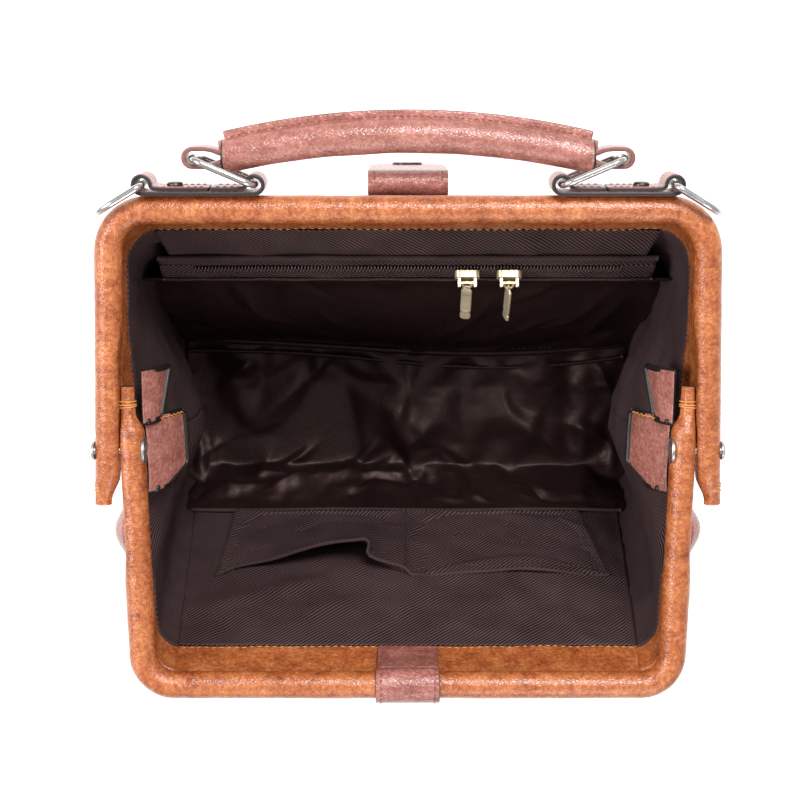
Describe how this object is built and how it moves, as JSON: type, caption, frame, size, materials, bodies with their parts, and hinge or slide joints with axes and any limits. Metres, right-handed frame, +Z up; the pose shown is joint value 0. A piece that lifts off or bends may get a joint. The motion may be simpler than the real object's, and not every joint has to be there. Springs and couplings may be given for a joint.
{
  "type": "doctor bag",
  "caption": "Open-standing doctor bag with two hinged U frames in leather rolls, a lined compartment, a carrying handle, D-rings and a closure strap.",
  "frame": {"origin": "middle of the underside of the bag's base", "axes": "+X to the right along the frame bars, +Y towards the back where the handle is, +Z up"},
  "size_m": [0.2728, 0.2563, 0.2076],
  "materials": {
    "body_leather": "satin",
    "trim_leather": "satin, rubbed",
    "lining_twill": "twill weave",
    "lining_satin": "satin",
    "pulp_board": "matte",
    "frame_steel": "bare",
    "ring_nickel": "polished",
    "rivet_bronze": "dark, domed",
    "zip_brass": "polished",
    "zip_coil": "matte",
    "cord_filler": "twisted"
  },
  "bodies": {
    "base": {"base_leather": "body_leather", "base_board": "pulp_board", "base_lining": "lining_satin", "gusset_leather_left": "body_leather", "gusset_leather_right": "body_leather", "gusset_lining_left": "lining_twill", "gusset_lining_right": "lining_twill", "hinge_facing_back_left": "body_leather", "hinge_facing_back_right": "body_leather", "hinge_facing_front_left": "trim_leather", "hinge_facing_front_right": "trim_leather"},
    "hinge_yoke": {"hinge_pin_left": "frame_steel", "hinge_pin_right": "frame_steel", "hinge_cap_left": "frame_steel", "hinge_cap_right": "frame_steel"},
    "back_frame": {"back_frame_steel": "frame_steel", "back_frame_roll": "trim_leather", "hardware_tab_left": "body_leather", "hardware_tab_right": "body_leather", "tab_rivet_left": "rivet_bronze", "tab_rivet_right": "rivet_bronze"},
    "front_frame": {"front_frame_steel": "frame_steel", "front_frame_roll": "trim_leather", "front_tab_sleeve": "body_leather"},
    "back_wall": {"back_panel": "body_leather", "back_facing": "trim_leather", "back_lining_upper": "lining_twill", "back_lining_lower": "lining_satin", "zip_tape": "lining_twill", "zip_chain": "zip_coil", "zip_pocket_bag": "lining_satin", "strap_anchor": "body_leather"},
    "front_wall": {"front_panel": "body_leather", "front_facing": "trim_leather", "front_lining": "lining_twill", "slip_pocket": "lining_twill", "front_tab_tail": "body_leather", "front_snap": "rivet_bronze"},
    "handle": {"handle_leather": "body_leather", "handle_filler": "cord_filler", "handle_strap": "body_leather"},
    "left_ring": {"oval_ring_left": "ring_nickel"},
    "right_ring": {"oval_ring_right": "ring_nickel"},
    "left_dee": {"dee_ring_left": "ring_nickel"},
    "right_dee": {"dee_ring_right": "ring_nickel"},
    "closure_strap": {"closure_strap": "body_leather", "strap_snap": "rivet_bronze", "strap_snap_cap": "rivet_bronze"},
    "slider_1": {"zip_slider_1": "zip_brass"},
    "slider_2": {"zip_slider_2": "zip_brass"},
    "puller_1": {"zip_puller_1": "zip_brass"},
    "puller_2": {"zip_puller_2": "zip_brass"}
  },
  "joints": [
    {"name": "frame_close", "type": "hinge", "parent": "hinge_yoke", "child": "back_frame", "pos_m": [0, 0, 0.18917], "axis": [1, 0, 0], "range_deg": [0, 83.11]},
    {"name": "front_frame_close", "type": "hinge", "parent": "hinge_yoke", "child": "front_frame", "pos_m": [0, 0, 0.18917], "axis": [-1, 0, 0], "range_deg": [0, 83.11]},
    {"name": "hinge_drop", "type": "slide", "parent": "base", "child": "hinge_yoke", "axis": [0, 0, -1], "range_m": [0, 0.09808]},
    {"name": "back_panel_lean", "type": "hinge", "parent": "base", "child": "back_wall", "pos_m": [0, 0.055, 0.011], "axis": [1, 0, 0], "range_deg": [0, 29.52], "deforming": ["gusset_leather_left", "gusset_leather_right", "gusset_lining_left", "gusset_lining_right", "hinge_facing_back_left", "hinge_facing_back_right", "hinge_facing_front_left", "hinge_facing_front_right"]},
    {"name": "front_panel_lean", "type": "hinge", "parent": "base", "child": "front_wall", "pos_m": [0, -0.055, 0.011], "axis": [-1, 0, 0], "range_deg": [0, 29.52]},
    {"name": "handle_lift", "type": "slide", "parent": "back_frame", "child": "handle", "axis": [0, 0.9986, 0.0523], "range_m": [0, 0.009]},
    {"name": "left_ring_turn", "type": "hinge", "parent": "back_frame", "child": "left_ring", "pos_m": [-0.0635, 0.11474, 0.19518], "axis": [0, 0.0523, -0.9986], "range_deg": [0, 22.79]},
    {"name": "right_ring_turn", "type": "hinge", "parent": "back_frame", "child": "right_ring", "pos_m": [0.0635, 0.11474, 0.19518], "axis": [0, -0.0523, 0.9986], "range_deg": [0, 22.79]},
    {"name": "left_dee_swing", "type": "hinge", "parent": "back_frame", "child": "left_dee", "pos_m": [-0.11, 0.11474, 0.19518], "axis": [0, 0.0523, -0.9986], "range_deg": [0, 110]},
    {"name": "right_dee_swing", "type": "hinge", "parent": "back_frame", "child": "right_dee", "pos_m": [0.11, 0.11474, 0.19518], "axis": [0, -0.0523, 0.9986], "range_deg": [0, 110]},
    {"name": "strap_lift", "type": "hinge", "parent": "back_wall", "child": "closure_strap", "pos_m": [0, 0.1143, 0.17941], "axis": [1, 0, 0], "range_deg": [-10, 80]},
    {"name": "zip_slide_1", "type": "slide", "parent": "back_wall", "child": "slider_1", "axis": [-1, 0, 0], "range_m": [0, 0.1165]},
    {"name": "zip_slide_2", "type": "slide", "parent": "back_wall", "child": "slider_2", "axis": [1, 0, 0], "range_m": [0, 0.0435]},
    {"name": "puller_swing_1", "type": "hinge", "parent": "slider_1", "child": "puller_1", "pos_m": [0.027, 0.0681, 0.14307], "axis": [-1, 0, 0], "range_deg": [-15, 165]},
    {"name": "puller_swing_2", "type": "hinge", "parent": "slider_2", "child": "puller_2", "pos_m": [0.046, 0.0681, 0.14307], "axis": [-1, 0, 0], "range_deg": [-15, 165]}
  ],
  "couplings": [
    {"joint": "front_frame_close", "follows": "frame_close", "ratio": 1},
    {"joint": "hinge_drop", "follows": "frame_close", "m_per_rad": 0.067613},
    {"joint": "back_panel_lean", "follows": "frame_close", "ratio": 0.35516},
    {"joint": "front_panel_lean", "follows": "frame_close", "ratio": 0.35516},
    {"joint": "left_ring_turn", "follows": "handle_lift", "rad_per_m": 44.2},
    {"joint": "right_ring_turn", "follows": "handle_lift", "rad_per_m": 44.2}
  ]
}
